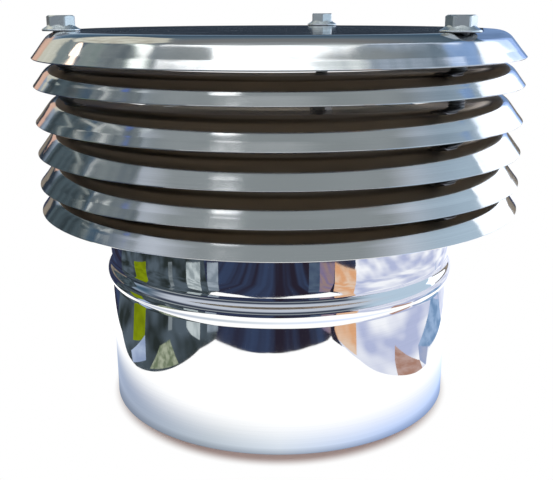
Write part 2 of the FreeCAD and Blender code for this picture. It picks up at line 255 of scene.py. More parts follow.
floor_card("bench", ("#35425E", "#272330"), 0, [
    (-BENCH, -BENCH), (BENCH, -BENCH), (BENCH, BENCH), (-BENCH, BENCH)], (34, 900))
floor_card("bench_left", ("#282F2F", "#525E68"), 1, [
    (-BENCH, -900), (-330, -330), (-219, -250), (-121, -190), (-120, 60), (-900, 400),
    (-BENCH, 900)], (70, 55))
floor_card("bench_right", ("#F8FAFF", "#B4BCDC"), 1, [
    (112, -205), (260, -272), (600, -700), (BENCH, -900), (BENCH, BENCH), (100, 400), (110, 0)],
    (60, 110))
floor_card("strip_green", ("#7E8E12", "#6C7A0E"), 3, [(-165, -3), (-176, -36), (-345, -27), (-328, 44)])
floor_card("slip_white", ("#A9B8D2", "#8F9FBE"), 4, [(-147, -5), (-184, -36), (-145, -44), (-133, -17)])
floor_card("block_green", ("#6E7A62", "#A7AE98"), 3, [
    (-134, -53), (-168, -75), (-174, -100), (-133, -106)], (12, 9))
floor_card("strip_grey", ("#7F888D", "#5E676B"), 3, [
    (-190, -100), (-188, -110), (-331, -160), (-336, -142)])
floor_card("sheet_beige", ("#C2CCCE", "#8F9A9E"), 3, [
    (-305, -218), (-174, -143), (-143, -160), (-272, -268)], (28, 16))
floor_card("sheet_pale", ("#9CA7B2", "#7C8894"), 3, [
    (-252, -289), (-139, -178), (-121, -194), (-219, -319)])
floor_card("strip_steel", ("#506075", "#44526A"), 3, [(111, -377), (61, -227), (83, -218), (150, -362)])
floor_card("cloth_rose", ("#7F7290", "#957F7F"), 3, [
    (150, -362), (83, -218), (101, -204), (201, -332)], (14, 80))
floor_card("cloth_peach", ("#E4C8B0", "#DDA67C"), 4, [
    (201, -332), (110, -202), (121, -149), (250, -261)], (26, 40))
floor_card("cloth_brown", ("#BA9D95", "#A88172"), 5, [
    (144, -81), (122, -72), (128, -28), (141, -30), (167, -85)], (8, 22))
floor_card("edge_blue", ("#A3ACC7", "#8FA0C6"), 5, [(164, -28), (153, -2), (130, -20), (141, -30)])
floor_card("far_blue", ("#7291B6", "#96B0D2"), 5, [
    (222, 46), (195, 80), (286, 118), (147, 68), (150, 0), (164, -28)], (20, 20))
print(len(flats) - 1, "cards on the floor")

# %% [markdown]
# The white sheet lies round the collar and is darker near it, where the cowl keeps the light off it:
# a little grey on the left, bluer on the right. Close to the collar's edge it is darker still, and
# inside the collar darker again, as little light gets there. A low board behind the cowl lights the
# gaps between the tiers from the rear.

# %% The white sheet and the rear board
SHEET_GLOW = 1.5
SHADE_CENTRE = (-8.0, 6.0)
SHADE_START, SHADE_END = 93.0, 132.0
SHADE_REACH = 110.0
SHADE_COLOURS = [(0.05, "#96A2B8"), (0.32, "#B2BDC8"), (0.50, "#CBD6E3"), (0.78, "#A8C3F4")]
EDGE_SCALE = 200.0
EDGE_LIGHT = [(0.0, "#66615C"), (0.444, "#66615C"), (0.449, "#C2C4C8"), (0.478, "#FFFFFF")]
BOARD_BACK, BOARD_TOP, BOARD_FOLDS = 1200, 160, (400, 400)

white_sheet, tree = new_material("white sheet card")
place = add_node(tree, "ShaderNodeTexCoord").outputs["Object"]
away = add_node(tree, "ShaderNodeVectorMath", {"operation": "DISTANCE"},
                _0=place, _1=(SHADE_CENTRE[0] * MM, SHADE_CENTRE[1] * MM, 0))
bright = add_node(tree, "ShaderNodeMapRange", SMOOTH, _0=away.outputs["Value"],
                  _1=SHADE_START * MM, _2=SHADE_END * MM)
across = add_node(tree, "ShaderNodeSeparateXYZ", _0=place)
side = add_node(tree, "ShaderNodeMapRange", _0=across.outputs["X"], _1=-SHADE_REACH * MM, _2=SHADE_REACH * MM)
shade = add_node(tree, "ShaderNodeValToRGB", stops=SHADE_COLOURS, _0=side.outputs[0])
sheet = add_node(tree, "ShaderNodeMix", {"data_type": "RGBA"},
                 _0=bright.outputs[0], _6=shade.outputs[0], _7=WHITE)
middle = add_node(tree, "ShaderNodeVectorMath", {"operation": "LENGTH"}, _0=place)
reach = add_node(tree, "ShaderNodeMath", {"operation": "DIVIDE"},
                 _0=middle.outputs["Value"], _1=EDGE_SCALE * MM)
edge = add_node(tree, "ShaderNodeValToRGB", stops=EDGE_LIGHT, _0=reach.outputs[0])
sheet = add_node(tree, "ShaderNodeMix", {"data_type": "RGBA", "blend_type": "MULTIPLY"},
                 _0=1.0, _6=sheet.outputs[2], _7=edge.outputs[0])
glow = add_node(tree, "ShaderNodeEmission", Color=sheet.outputs[2], Strength=SHEET_GLOW)
add_node(tree, "ShaderNodeOutputMaterial", Surface=glow.outputs[0])
white_sheet.cycles.emission_sampling = "NONE"

lay_down("white_sheet", white_sheet, 6, [
    (-150, 190), (-152, 40), (-137, 2), (-131, -27), (-130, -62), (-132, -152), (-121, -185),
    (-92, -194), (-61, -200), (-20, -207), (20, -209), (55, -209), (101, -202), (114, -173),
    (119, -140), (120, -111), (124, -74), (126, -43), (130, -18), (147, -2), (150, 190)])
board = ((-BENCH, 0), (BENCH, 0), (BENCH, BOARD_TOP), (-BENCH, BOARD_TOP))
add_flat("rear_board", [(x * MM, BOARD_BACK * MM, z * MM) for x, z in board],
         glowing("rear board card", ("#8E8478", "#6A645C"), 1 / COLLAR_KEEPS, BOARD_FOLDS), CARD_RAYS)
print("white sheet laid, board", BOARD_TOP, "mm high behind")

# %% [markdown]
# The cards above the horizon are given by direction: the azimuth in degrees from the camera's side,
# positive towards the right, and the elevation. They stand so far off that every part of the cowl
# sees them in nearly the same direction. The skirts are a little darker than the collar.
# First come the lights: the long one under the ceiling with its dim fringe, its soft end on the
# right, and two small lamps. Their marks on the skirts are what makes the metal look polished.

# %% Hang a card
ROOM_DISTANCE, ROOM_STEP = 6.0, 0.05
ROOM_FOLDS = (300, 300)
SKIRT_KEEPS = 0.62


def toward(azimuth, elevation):
    """Unit vector of a direction in the room."""
    a, e = math.radians(azimuth), math.radians(elevation)
    return Vector((math.sin(a) * math.cos(e), -math.cos(a) * math.cos(e), math.sin(e)))


def hang(name, colours, points, level):
    """Hang a cloudy card through points, shining at level times its colour."""
    add_flat(name, points, glowing(name + " card", colours, level / SKIRT_KEEPS, ROOM_FOLDS), CARD_RAYS)


def room_card(name, colours, corners, layer=0, level=1.0):
    """Hang a card that faces the cowl. A higher layer hangs in front of a lower one."""
    hang(name, colours, [toward(*c) * (ROOM_DISTANCE - ROOM_STEP * layer) for c in corners], level)


def ceiling_card(name, colours, corners, level=1.0):
    """Hang a level card under the ceiling."""
    hang(name, colours, [p * (ROOM_DISTANCE / p.z) for p in (toward(*c) for c in corners)], level)


print("a card in the room glows", round(1 / SKIRT_KEEPS, 2), "times its colour")

# %% Lights in the room
floor_flats = len(flats)

ceiling_card("ceiling_light", ("#FFFFFF", "#F4FAFF"), [
    (-91, 56), (-84, 60.6), (-77, 63.2), (-68, 66.4), (-61, 67.5), (-54, 66.4), (-48, 65.8),
    (-36, 67.4), (-27, 69.6), (-19, 71.8), (1, 73), (32, 71.3), (46, 70.2), (60, 67.3), (72, 64.2),
    (72, 65.2), (60, 69), (46, 72.6), (38, 74.4), (20, 76.9), (2, 77.9), (-40, 74.8), (-55, 72.4),
    (-66, 70), (-77, 66.8), (-84, 63.2), (-92, 59.5)], level=1.3)
room_card("light_fringe", ("#C6CED0", "#B2BABE"), [
    (2, 77.9), (20, 76.9), (38, 74.4), (46, 72.6), (60, 69), (72, 65.2), (80, 63), (74, 69.5),
    (58, 75), (34, 78.8), (2, 80)])
room_card("right_soft", ("#929EAC", "#808D9B"), [
    (60, 67.1), (72, 64), (84, 58), (92, 53.8), (102, 48), (103, 51), (96, 56.8), (84, 63),
    (72, 65)], layer=1)
room_card("lamp_high", ("#FFFFFF", "#F6FAFF"), [
    (-50, 60.8), (-42.7, 62.9), (-35, 64.2), (-29, 65), (-28, 64.4), (-34, 62.9), (-41.5, 61.4),
    (-48.5, 60.3)], layer=2, level=1.8)
room_card("lamp_low", ("#FFFFFF", "#F6FAFF"), [
    (-46, 56), (-42.5, 57.4), (-36.5, 58.5), (-30.5, 59.5), (-25, 59.7), (-30, 58), (-36, 57),
    (-42, 55.8)], layer=2, level=1.8)
print("lights", flats[floor_flats:])

# %% [markdown]
# The window's side: the window itself, its blue surround in steps, and a bright line along the wall.

# %% Cards on the right
room_card("window", ("#F4F8FF", "#E2EEFF"), [
    (112, -3), (112, 22), (117, 32), (122, 34.5), (134, 25), (139.5, 18.2), (145, 13.5), (148, 8),
    (148.5, -3)], layer=2, level=1.25)
room_card("right_glow", ("#C4DAFA", "#B4CCF2"), [
    (132, 26), (139.5, 18.2), (145, 13.5), (148, 8), (148.5, -5), (151, -5), (150.3, 8.5),
    (146.5, 14), (141, 19.4), (134, 28)], layer=1)
room_card("right_blue", ("#94AEE0", "#87A2D4"), [
    (134, 28), (141, 19.4), (146.5, 14), (150.3, 8.5), (151, -5), (155.5, -5), (153.5, 9),
    (148.5, 15), (142.5, 21), (136, 30)], layer=1)
room_card("right_end", ("#5C7498", "#6A82A8"), [
    (136, 30), (142.5, 21), (148.5, 15), (153.5, 9), (155.5, -5), (166, -5), (165, 14), (158, 24),
    (150, 32)], layer=1)
room_card("right_high", ("#6C88B0", "#86A4D0"), [
    (106.5, 39), (110, 33.5), (122, 34), (121, 41), (107.5, 44.5)], layer=1)
room_card("right_line", ("#E8F0FF", "#D4E2FA"), [
    (80, 66.5), (94, 57.6), (103.2, 51), (109.2, 44.4), (114, 39.8), (116.5, 39), (112, 43.7),
    (106.5, 50.3), (98, 57.2), (84, 66.8)], layer=3, level=1.2)
print(len(flats) - floor_flats, "cards in the room so far")

# %% [markdown]
# The other side is a darker wall with a pink and a beige end, a lamp, and pale rails that cross it.
# They are what breaks up the left ends of the skirts.

# %% Cards on the left
room_card("left_wall", ("#2E373C", "#46535A"), [
    (-137, 18), (-129, 24), (-121, 30.2), (-114, 33), (-108, 26), (-108, 2), (-139, 0), (-139, 14)])
room_card("left_side", ("#565F66", "#70787B"), [(-114, 47), (-88, 51), (-82, 40), (-108, 27)])
room_card("left_pink", ("#C39C8C", "#B39A88"), [
    (-154, 15), (-146, 15), (-144.5, 9), (-146, 5), (-154, 5)], layer=1)
room_card("left_beige", ("#C2C2B8", "#B2B2A6"), [
    (-146, 12), (-139.8, 13), (-139, 16), (-134.5, 19.5), (-134.5, 26), (-146, 28)], layer=1)
room_card("left_grey", ("#7A8585", "#6A7578"), [
    (-134.5, 20.5), (-129, 25), (-126, 27), (-126.5, 34), (-134.5, 27)], layer=1)
room_card("left_lamp", ("#FFD9C0", "#FFF8EC"), [
    (-126.5, 28.4), (-121, 29.8), (-121, 32.4), (-126.5, 32.6)], layer=3, level=1.7)
room_card("left_beige_high", ("#CACABE", "#A6A296"), [
    (-158, 34), (-140, 28), (-131, 28.5), (-126, 33.6), (-119.5, 38.2), (-112, 45), (-104, 55.5),
    (-114, 62), (-152, 52)], layer=2)
room_card("left_patch", ("#74807F", "#82898A"), [
    (-121.5, 31.5), (-116, 36), (-109, 38.5), (-109, 43), (-119.5, 38.2), (-122, 35)], layer=1)
room_card("left_navy", ("#566578", "#5E6C74"), [
    (-110, 42.5), (-99, 43.8), (-99, 47), (-104, 46.2), (-109.5, 46)], layer=1)
room_card("left_pale", ("#9AA5A3", "#A9B3B0"), [
    (-110, 46.2), (-104, 46.4), (-99, 47.2), (-92, 51), (-92, 56), (-104, 54)], layer=1)
room_card("left_pipe_low", ("#8A928F", "#9AA09E"), [
    (-133, 18.9), (-112, 27.1), (-111, 28.1), (-131.6, 20.1)], layer=2)
room_card("left_pipe", ("#A4A8A4", "#B8BAB6"), [
    (-120.5, 27.3), (-100, 36.7), (-99, 37.9), (-119.3, 28.4)], layer=2)
room_card("left_brace", ("#B4B8B8", "#C2C6C6"), [
    (-109.5, 30), (-108.4, 29.6), (-101.4, 42.4), (-102.5, 42.8)], layer=4)
room_card("left_arch", ("#B8BCBC", "#C6CACA"), [
    (-106, 37.6), (-94, 42.1), (-94.5, 41.3), (-105.6, 36.9)], layer=4)
room_card("left_rail_low", ("#8A928F", "#9AA09E"), [
    (-118.9, 22.4), (-107.4, 26.1), (-106.4, 27), (-117.7, 23.4)], layer=2)
room_card("left_rail", ("#B4B8B4", "#C0C2BE"), [
    (-105, 29.9), (-96.6, 33), (-95.7, 33.9), (-104, 30.9)], layer=2)
room_card("left_rail_brace", ("#B4B8B8", "#C2C6C6"), [
    (-102.6, 30.3), (-101.7, 29.9), (-97.5, 34.6), (-98.4, 35)], layer=4)
room_card("left_blue", ("#4E66AC", "#6074A6"), [
    (-94.8, 42.6), (-92.4, 43), (-91, 45), (-93.4, 45.6)], layer=6)
room_card("left_blue_low", ("#4E66AC", "#6074A6"), [
    (-90.8, 37.6), (-88.4, 37.8), (-87.4, 39.6), (-89.6, 40)], layer=6)
room_card("left_end", ("#BCC4C8", "#ACB4BA"), [
    (-88.4, 45.9), (-82.4, 49.9), (-81.4, 49.2), (-84.2, 46.8)], layer=2)
room_card("left_white", ("#FFFFFF", "#EFF8F4"), [
    (-103, 49.6), (-97, 50.6), (-91.5, 52.2), (-91, 55), (-97, 54), (-103, 53)], layer=3, level=1.2)
print(len(flats) - floor_flats, "cards in the room")

# %% [markdown]
# The rest of the room is the world itself. Glossy rays get two ramps by height, one for the room
# behind the camera and one for the room beyond the cowl, which is darker and bluer, and a cold glow
# towards the window. Diffuse rays get one even pale level, and camera rays white.

# %% World
DIFFUSE_LEVEL = 0.55
TURN_OVER = 0.2
COLD_START, COLD_END = 0.62, 0.90
NEAR_RAMP = [
    (0.00, "#AEB6BA"), (0.06, "#AEB6BA"), (0.11, "#464F61"), (0.28, "#464F61"), (0.42, "#DAE2F0"),
    (0.70, "#DAE2F0"), (0.78, "#A2AAAE"), (0.84, "#A4ACB0"), (0.91, "#9CA4A7"),
    (0.96, "#CCD2D6"), (0.985, "#C4CACE"), (1.00, "#A4AAAF"),
]
FAR_RAMP = [
    (0.00, "#2C343F"), (0.10, "#333E4B"), (0.17, "#A4B4C8"), (0.25, "#90A4B8"), (0.34, "#516E86"),
    (0.57, "#4E6275"), (0.77, "#6C7F8E"), (0.92, "#8B8C8E"), (0.99, "#8B9093"), (1.00, "#A4AAAF"),
]

world = bpy.data.worlds.new("studio")
bpy.context.scene.world = world
world.use_nodes = True
tree = world.node_tree
tree.nodes.clear()
direction = add_node(tree, "ShaderNodeTexCoord").outputs["Generated"]
split = add_node(tree, "ShaderNodeSeparateXYZ", _0=direction)
near, far = (add_node(tree, "ShaderNodeValToRGB", stops=stops, _0=split.outputs["Z"]).outputs[0]
             for stops in (NEAR_RAMP, FAR_RAMP))
beyond = add_node(tree, "ShaderNodeMapRange", SMOOTH, _0=split.outputs["Y"], _1=-TURN_OVER, _2=TURN_OVER)
walls = add_node(tree, "ShaderNodeMix", {"data_type": "RGBA"}, _0=beyond.outputs[0], _6=near, _7=far)
cold = add_node(tree, "ShaderNodeMapRange", SMOOTH, _0=split.outputs["X"], _1=COLD_START, _2=COLD_END)
walls = add_node(tree, "ShaderNodeMix", {"data_type": "RGBA"},
                 _0=cold.outputs[0], _6=walls.outputs[2], _7=linear("#D2EAFF"))
room = add_node(tree, "ShaderNodeBackground", Color=walls.outputs[2], Strength=1.0)
even = add_node(tree, "ShaderNodeBackground", Color=WHITE, Strength=DIFFUSE_LEVEL)
backdrop = add_node(tree, "ShaderNodeBackground", Color=WHITE, Strength=1.0)
ray = add_node(tree, "ShaderNodeLightPath")
unseen = add_node(tree, "ShaderNodeMixShader", _0=ray.outputs["Is Glossy Ray"],
                  _1=even.outputs[0], _2=room.outputs[0])
lit = add_node(tree, "ShaderNodeMixShader", _0=ray.outputs["Is Camera Ray"],
               _1=unseen.outputs[0], _2=backdrop.outputs[0])
add_node(tree, "ShaderNodeOutputWorld", Surface=lit.outputs[0])
print("world ramps of", len(NEAR_RAMP), "and", len(FAR_RAMP), "colours")

# %% [markdown]
# One wide soft box hangs over the cowl. It lights the floor, so the shadow is softest under the bead,
# and is kept out of the mirror, where the cards are.

# %% Soft box
BOX_SIZE, BOX_HEIGHT, BOX_WATTS = 1.2, 1.3, 1.4

box_light = bpy.data.lights.new("soft_box", "AREA")
box_light.size = BOX_SIZE
box_light.energy = BOX_WATTS
soft_box = bpy.data.objects.new("soft_box", box_light)
soft_box.location = (0, 0, BOX_HEIGHT)
soft_box.visible_glossy = False
bpy.context.scene.collection.objects.link(soft_box)
print("soft box", BOX_SIZE, "m wide at", BOX_HEIGHT, "m")

# %% [markdown]
# ## Stainless steel sheet
# The cap and the rings are spun from polished stainless sheet. Spinning leaves fine lines round the
# axis, which smear a reflection across them, and handling leaves a faint unevenness of gloss. The
# collar is rolled from sheet with a brighter mill polish, so it mirrors almost cleanly. The insides
# keep the mill's own dull finish.
# Lines round an axis need a coordinate that doesn't change round it. The noise is read at a unit
# circle's point and at radius minus height, which keeps changing along a flange, a skirt and a tube.
# The real lines are a few hundredths of a millimetre apart. That is too fine for the picture, so they
# are drawn half a millimetre apart or more.

# %% Sheet materials
WAVE_WIDTH, WAVE_DEPTH = 45.0, 0.02
WIPE_WIDTH, WIPE_LOW, WIPE_HIGH = 18.0, 0.35, 0.7


def stainless(name, light, dark, gloss, line_spacing, line_depth):
    """Stainless sheet turned or rolled round Z.

    gloss is the lowest and highest roughness; the other sizes are in millimetres.
    """
    material, tree = new_material(name)
    place = add_node(tree, "ShaderNodeTexCoord").outputs["Object"]
    flat = add_node(tree, "ShaderNodeVectorMath", {"operation": "MULTIPLY"}, _0=place, _1=(1, 1, 0))
    radius = add_node(tree, "ShaderNodeVectorMath", {"operation": "LENGTH"}, _0=flat.outputs[0])
    circle = add_node(tree, "ShaderNodeVectorMath", {"operation": "NORMALIZE"}, _0=flat.outputs[0])
    split = add_node(tree, "ShaderNodeSeparateXYZ", _0=place)
    along = add_node(tree, "ShaderNodeMath", {"operation": "SUBTRACT"},
                     _0=radius.outputs["Value"], _1=split.outputs["Z"])
    fine = add_node(tree, "ShaderNodeMath", {"operation": "DIVIDE"},
                    _0=along.outputs[0], _1=line_spacing * MM)
    lift = add_node(tree, "ShaderNodeCombineXYZ", Z=fine.outputs[0])
    turned = add_node(tree, "ShaderNodeVectorMath", {"operation": "ADD"},
                      _0=circle.outputs[0], _1=lift.outputs[0])
    lines = add_node(tree, "ShaderNodeTexNoise", Vector=turned.outputs[0],
                     Scale=1.0, Detail=3.0, Roughness=0.6)
    waves = add_node(tree, "ShaderNodeTexNoise", Vector=place,
                     Scale=1 / (WAVE_WIDTH * MM), Detail=1.0, Roughness=0.4)
    wiped = add_node(tree, "ShaderNodeTexNoise", Vector=place,
                     Scale=1 / (WIPE_WIDTH * MM), Detail=5.0, Roughness=0.65)
    rough = add_node(tree, "ShaderNodeMapRange", _0=wiped.outputs[0],
                     _1=WIPE_LOW, _2=WIPE_HIGH, _3=gloss[0], _4=gloss[1])
    tint = add_node(tree, "ShaderNodeMix", {"data_type": "RGBA"},
                    _0=lines.outputs[0], _6=linear(dark), _7=linear(light))
    rolled = add_node(tree, "ShaderNodeBump", Strength=1.0, Distance=WAVE_DEPTH * MM, Height=waves.outputs[0])
    grained = add_node(tree, "ShaderNodeBump", Strength=1.0, Distance=line_depth * MM,
                       Height=lines.outputs[0], Normal=rolled.outputs[0])
    metal = add_node(tree, "ShaderNodeBsdfPrincipled", Base_Color=tint.outputs[2], Metallic=1.0,
                     Roughness=rough.outputs[0], Normal=grained.outputs[0])
    add_node(tree, "ShaderNodeOutputMaterial", Surface=metal.outputs[0])
    return material


ring_finish = stainless("polished stainless sheet, spun",
                        "#D6D7D6", "#C6C7C7", (0.06, 0.13), 0.55, 0.0013)
inner_finish = stainless("cold-rolled stainless sheet, mill finish",
                         "#EADAC4", "#D8C8B0", (0.3, 0.42), 0.9, 0.0008)
collar_finish = stainless("bright annealed stainless sheet, rolled",
                          "#DEDEDE", "#D2D3D4", (0.02, 0.05), 0.8, 0.0003)
print("sheet finishes", [m.name for m in (ring_finish, inner_finish, collar_finish)])

# %% [markdown]
# ## Zinc plating
# The bolts and nuts are cold-forged steel with a thin bright zinc plating, passivated clear. It is
# duller and softer than the polished sheet, and slightly blue. The thread and the nuts get a darker
# zinc, which is painted shade for where they sit in the dark gaps between the tiers.

# %% Zinc materials
BLOOM_WIDTH, BLOOM_LOW, BLOOM_HIGH = 3.5, 0.3, 0.7
PIT_WIDTH, PIT_DEPTH = 0.6, 0.006


def zinc(name, light, dark, gloss):
    """Zinc plating over a forged surface. gloss is the lowest and highest roughness."""
    material, tree = new_material(name)
    place = add_node(tree, "ShaderNodeTexCoord").outputs["Object"]
    bloom = add_node(tree, "ShaderNodeTexNoise", Vector=place,
                     Scale=1 / (BLOOM_WIDTH * MM), Detail=4.0, Roughness=0.6)
    pits = add_node(tree, "ShaderNodeTexNoise", Vector=place,
                    Scale=1 / (PIT_WIDTH * MM), Detail=3.0, Roughness=0.6)
    tint = add_node(tree, "ShaderNodeMix", {"data_type": "RGBA"},
                    _0=bloom.outputs[0], _6=linear(dark), _7=linear(light))
    rough = add_node(tree, "ShaderNodeMapRange", _0=bloom.outputs[0],
                     _1=BLOOM_LOW, _2=BLOOM_HIGH, _3=gloss[0], _4=gloss[1])
    pitted = add_node(tree, "ShaderNodeBump", Strength=1.0, Distance=PIT_DEPTH * MM, Height=pits.outputs[0])
    metal = add_node(tree, "ShaderNodeBsdfPrincipled", Base_Color=tint.outputs[2], Metallic=1.0,
                     Roughness=rough.outputs[0], Normal=pitted.outputs[0])
    add_node(tree, "ShaderNodeOutputMaterial", Surface=metal.outputs[0])
    return material


bolt_finish = zinc("bright zinc plating on a forged bolt", "#F0F4F4", "#DDE3E4", (0.24, 0.36))
# The thread's and the nuts' zinc is darker than the head's: painted shade for the dark gaps they sit in.
shaded_zinc_finish = zinc("thin zinc plating on a rolled thread", "#8E9091", "#77797A", (0.25, 0.4))
shaded_nut_finish = zinc("dull zinc plating on a nut", "#9EA0A1", "#838586", (0.26, 0.4))
print("zinc finishes", [m.name for m in (bolt_finish, shaded_zinc_finish, shaded_nut_finish)])

# %% [markdown]
# ## From bmesh to finished piece
# Every piece is a bmesh until it is done. This function makes it an object at the origin, shades it
# smooth but for its real edges, hangs it under the root and hides the imported node it stands for.
# The node's own material slot, as packed, says which finishes it gets: the first for its outside,
# and the second for a sheet's inner side or a bolt's thread.

# %% Finish a piece
SHARP_EDGE = math.radians(20)
# A bolt's second finish and the nut's finish are darker zinc: painted shade.
FINISHES = {
    "collar_steel": (collar_finish, inner_finish), "ring_steel": (ring_finish, inner_finish),
    "cap_steel": (ring_finish, inner_finish), "bolt_zinc": (bolt_finish, shaded_zinc_finish),
    "nut_zinc": (shaded_nut_finish,),
}


def finish_piece(bm, node):
    """Make an object of a bmesh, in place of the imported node."""
    name = node + "_made"
    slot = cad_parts[node].material_slots[0].name.split(".")[0]
    mesh = bpy.data.meshes.new(name)
    bm.to_mesh(mesh)
    bm.free()
    for finish in FINISHES[slot]:
        mesh.materials.append(finish)
    mesh.shade_smooth()
    mesh.set_sharp_from_angle(angle=SHARP_EDGE)
    piece = bpy.data.objects.new(name, mesh)
    bpy.context.scene.collection.objects.link(piece)
    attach(piece, "root")
    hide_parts(node)
    print("%-24s %6d faces, slot %s" % (name, len(mesh.polygons), slot))


# %% [markdown]
# ## Sheet metal as a section
# Each sheet part is a section turned round the axis. The section is drawn as a tinsmith would say
# it: so far flat, then bend by so much over such a radius. A flat extrudes the last vertex, and a bend
# spins it about the bend's centre. The chain is then spun round the axis, and solidify gives the wall.
# The cut edges get a small round, which is what catches the light along a real rim.

# %% Draw and spin a section
ROUND_STEPS = 192
WELD = 0.0005
EDGE_ROUND = 0.12
CUT_EDGE = 1.0  # radians between the faces, which only a cut edge reaches


def draw_section(bm, start, heading, moves):
    """Draw a chain of edges in the XZ plane. Each move is (length or radius, turn, pieces)."""
    tip = bm.verts.new((start[0] * MM, 0, start[1] * MM))
    angle = math.radians(heading)
    for reach, turn, pieces in moves:
        if turn == 0:
            step = Vector((math.cos(angle), 0, math.sin(angle))) * reach * MM / pieces
            for _ in range(pieces):
                tip = bmesh.ops.extrude_vert_indiv(bm, verts=[tip])["verts"][0]
                tip.co += step
            continue
        side = math.copysign(1, turn)
        centre = tip.co + Vector((-math.sin(angle), 0, math.cos(angle))) * side * reach * MM
        spun = bmesh.ops.spin(bm, geom=[tip], cent=centre, axis=(0, 1, 0), angle=-math.radians(turn),
                              steps=pieces, use_duplicate=False)
        tip = [v for v in spun["geom_last"] if isinstance(v, bmesh.types.BMVert)][0]
        angle += math.radians(turn)


def spin_round(bm, steps=ROUND_STEPS):
    """Spin all there is once round Z, close the seam and turn the faces outwards."""
    bmesh.ops.spin(bm, geom=bm.verts[:] + bm.edges[:], cent=(0, 0, 0), axis=(0, 0, 1),
                   angle=2 * math.pi, steps=steps, use_merge=True)
    bmesh.ops.remove_doubles(bm, verts=bm.verts[:], dist=WELD * MM)
    bmesh.ops.recalc_face_normals(bm, faces=bm.faces[:])


def give_wall(bm, wall):
    """Thicken the skin inwards, give its new inner side the second finish and round its cut edges."""
    thick = bmesh.ops.solidify(bm, geom=bm.faces[:], thickness=wall * MM)
    for face in thick["geom"]:
        if isinstance(face, bmesh.types.BMFace):
            face.material_index = 1
    cut = [e for e in bm.edges if e.is_manifold and e.calc_face_angle() > CUT_EDGE]
    bmesh.ops.bevel(bm, geom=cut, offset=EDGE_ROUND * MM, offset_type="OFFSET", segments=2,
                    profile=0.5, affect="EDGES", material=-1)


print("a section is spun in", ROUND_STEPS, "steps of", 360 / ROUND_STEPS, "degrees")

# %% [markdown]
# ## The cap and the rings
# Flange, shoulder, skirt. A narrow band along each rim, where the spinning roller ran off the
# sheet, lies a little flatter than the skirt above it and so mirrors a higher part of the room. The
# photograph shows it as the light band along every rim. The cap's skirt lies flatter than the rings',
# which is why it alone mirrors the whole ceiling light. The rings' skirts ease out of their shoulders
# over a long arc, so that the top of each, just clear of the rim above, catches a lamp in one short mark.

# %% Sizes of the tiers
SHEET_WALL = 0.8
BORE_RADIUS, RIM_RADIUS = 92.0, 122.0
SHOULDER_RADIUS, CREASE_RADIUS, RIM_BAND = 10.0, 0.5, 4.6
SHORT_DROP, USUAL_DROP = 10.2, 12.3
SHORT_TIERS = ("base_ring", "louvre_ring_1")
# The skirt's slope, what it eases through and the rim band's slope, in degrees.
SKIRTS = {
    "base_ring": (54.0, 3.5, 52.6), "louvre_ring_4": (54.0, 3.5, 51.0), "louvre_ring_3": (53.4, 1.5, 52.6),
    "louvre_ring_2": (54.0, 2.2, 51.2), "louvre_ring_1": (55.0, 3.5, 52.5), "top_cap": (51.5, 0.5, 49.5),
}


def tier_section(node):
    """Start and moves of a tier's section. The skirt's length follows from its drop and slopes."""
    drop = SHORT_DROP if node in SHORT_TIERS else USUAL_DROP
    slope, ease, band_slope = SKIRTS[node]
    bend, mean, fall = (math.radians(a) for a in (slope - ease, slope - ease / 2, band_slope))
    skirt = (drop - SHOULDER_RADIUS * (1 - math.cos(bend)) - RIM_BAND * math.sin(fall)) / math.sin(mean)
    flat_end = (RIM_RADIUS - skirt * math.cos(mean) - RIM_BAND * math.cos(fall)
                - SHOULDER_RADIUS * math.sin(bend))
    inner, pieces = (0.0, 12) if node == "top_cap" else (BORE_RADIUS, 4)
    return (inner, top_of(node)), [
        (flat_end - inner, 0, pieces),
        (SHOULDER_RADIUS, ease - slope, 18),
        (skirt / math.radians(ease), -ease, 6),
        (CREASE_RADIUS, slope - band_slope, 1),
        (RIM_BAND, 0, 4),
    ]


for tier in TIERS:
    (inner, level), moves = tier_section(tier)
    print(tier, "flat from", inner, "to", round(inner + moves[0][0], 1), "mm at level", round(level, 1))

# %% [markdown]
# The bolts stand at thirds of a circle. Where a nut is drawn up against the inside of the cap's
# shoulder, the sheet has bulged a little. The bulge is pushed into the skin before it gets its wall.

# %% Spin the cap and the rings
FIRST_BOLT = -44.6
# The direction of each bolt, and how far its tight head is turned from the first bolt's direction.
BOLTS = {"right": (FIRST_BOLT, 36.2), "rear": (FIRST_BOLT + 120, 11.7), "left": (FIRST_BOLT + 240, 42.9)}
BULGE_RADIUS, BULGE_DROP, BULGE_HEIGHT, BULGE_WIDTH = 116.0, 4.2, 0.35, 7.5
BULGE_TILT = math.radians(48)


def outward(direction):
    """Level unit vector, with the direction in degrees from X."""
    return Vector((math.cos(math.radians(direction)), math.sin(math.radians(direction)), 0))


def bulge(bm, direction, level):
    """Push the shoulder out beside a bolt."""
    spot = outward(direction) * BULGE_RADIUS * MM
    spot.z = (level - BULGE_DROP) * MM
    away = (spot * Vector((1, 1, 0))).normalized()
    out = away * math.sin(BULGE_TILT) + Vector((0, 0, math.cos(BULGE_TILT)))
    for v in bm.verts:
        v.co += out * BULGE_HEIGHT * MM * math.exp(-((v.co - spot).length / (BULGE_WIDTH * MM)) ** 2)


for node in TIERS:
    start, moves = tier_section(node)
    bm = bmesh.new()
    draw_section(bm, start, 0, moves)
    spin_round(bm)
    if node == "top_cap":
        for direction, _ in BOLTS.values():
            bulge(bm, direction, top_of(node))
    give_wall(bm, SHEET_WALL)
    finish_piece(bm, node)

# %% [markdown]
# ## The collar
# A tube rolled from flat sheet, with one bead that stops it going too far into the flue, a barrel
# and a lip turned out under the lowest ring. The bead is three arcs, and the wall is drawn in
# slightly above it, which a very flat fourth arc brings back out. The turned-out lip misleads the
# recalculated normals: they point up on the lip and so into the tube, and are turned round here.

# %% Roll the collar
COLLAR_RADIUS, COLLAR_WALL = 89.5, 0.6
BEAD_LEVEL, BEAD_DEPTH, CROWN, HOLLOW = 68.6, 1.9, 6.0, 5.8
NECK_DEPTH, NECK_EASE = 0.5, 45.0
LIP_BEND = 2.6

